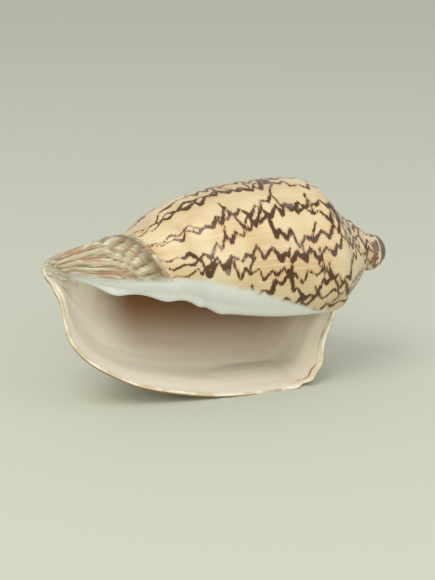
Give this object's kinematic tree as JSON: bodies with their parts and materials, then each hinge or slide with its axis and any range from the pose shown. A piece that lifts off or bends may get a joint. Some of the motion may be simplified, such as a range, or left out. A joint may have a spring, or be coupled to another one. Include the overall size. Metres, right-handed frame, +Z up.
{
  "type": "volute shell",
  "caption": "Sea snail shell with a low domed spire, a large body whorl, a wide mouth, slanting folds and brown zigzag lines, lying on its lip.",
  "frame": {"origin": "centre of the bounding box's bottom, on the surface the shell lies on", "axes": "+X along the long axis towards the spire, -Y the side with the mouth, +Z up"},
  "size_m": [0.1206, 0.0554, 0.0686],
  "materials": {
    "shell": "satin lime, cream with brown zigzag lines"
  },
  "bodies": {
    "root": {"shell": "shell"}
  },
  "joints": []
}
